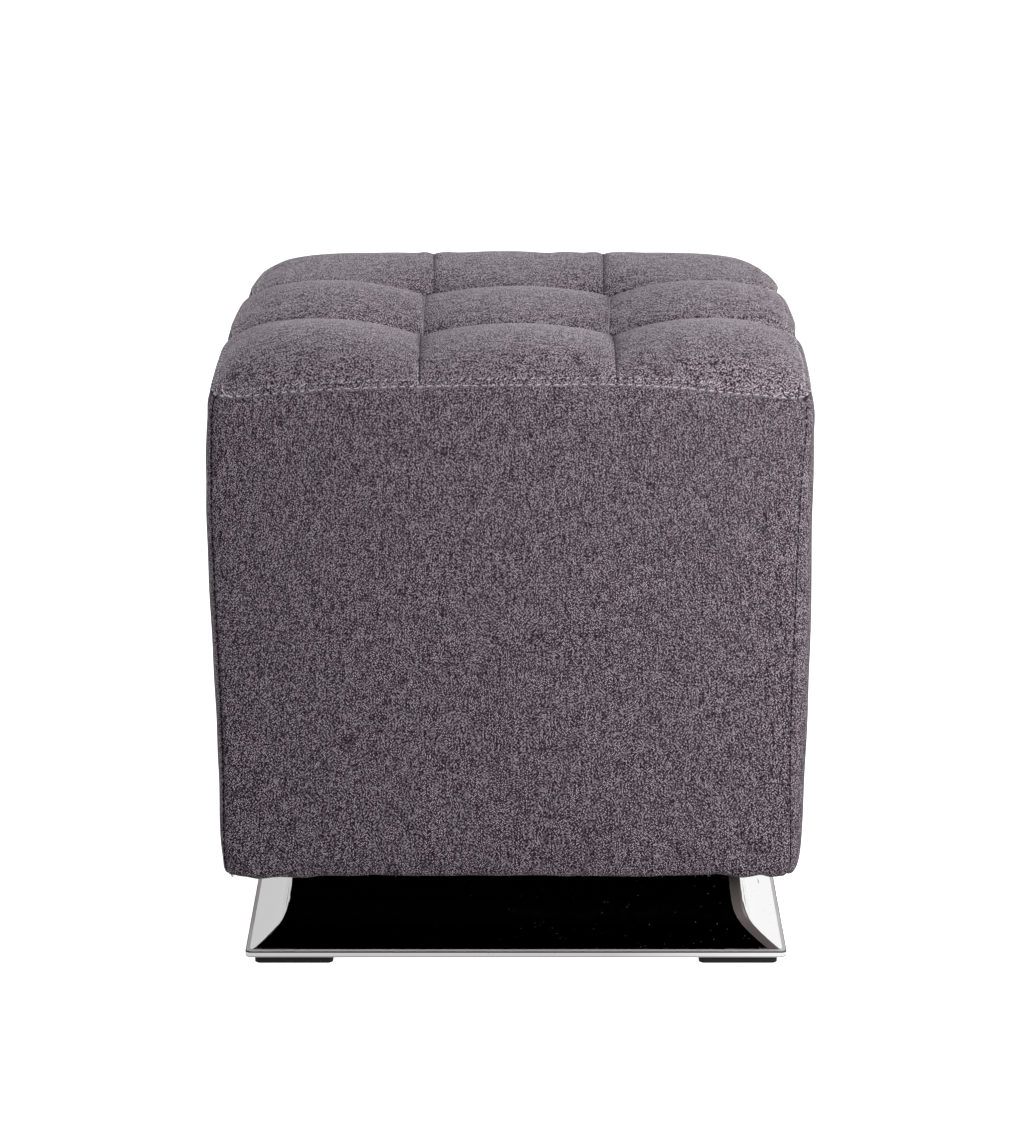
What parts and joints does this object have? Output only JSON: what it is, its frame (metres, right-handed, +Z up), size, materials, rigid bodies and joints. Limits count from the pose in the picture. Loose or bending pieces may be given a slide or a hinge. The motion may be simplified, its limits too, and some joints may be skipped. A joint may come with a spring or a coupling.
{
  "type": "cube pouf stool",
  "caption": "Padded cube stool in woven cloth, with a quilted crowned top, sewn sides with a turned hem, and a flared chromed plinth on flat pads.",
  "frame": {"origin": "on the floor, under the middle of the stool's outline in plan", "axes": "+Z up from the floor; -Y is the stool's front, the side that faces the viewer in the picture; +X is to the viewer's right"},
  "size_m": [0.4332, 0.42, 0.4685],
  "materials": {
    "upholstery": "plain weave in flecked grey-brown yarn, matt",
    "board": "black stained board, matt",
    "chromed_sheet": "polished",
    "foot_pad": "matt black"
  },
  "bodies": {
    "root": {"quilted_top": "upholstery", "front_panel": "upholstery", "right_panel": "upholstery", "back_panel": "upholstery", "left_panel": "upholstery", "bottom_board": "board", "plinth": "chromed_sheet", "foot_front_left": "foot_pad", "foot_front_right": "foot_pad", "foot_back_left": "foot_pad", "foot_back_right": "foot_pad"}
  },
  "joints": []
}
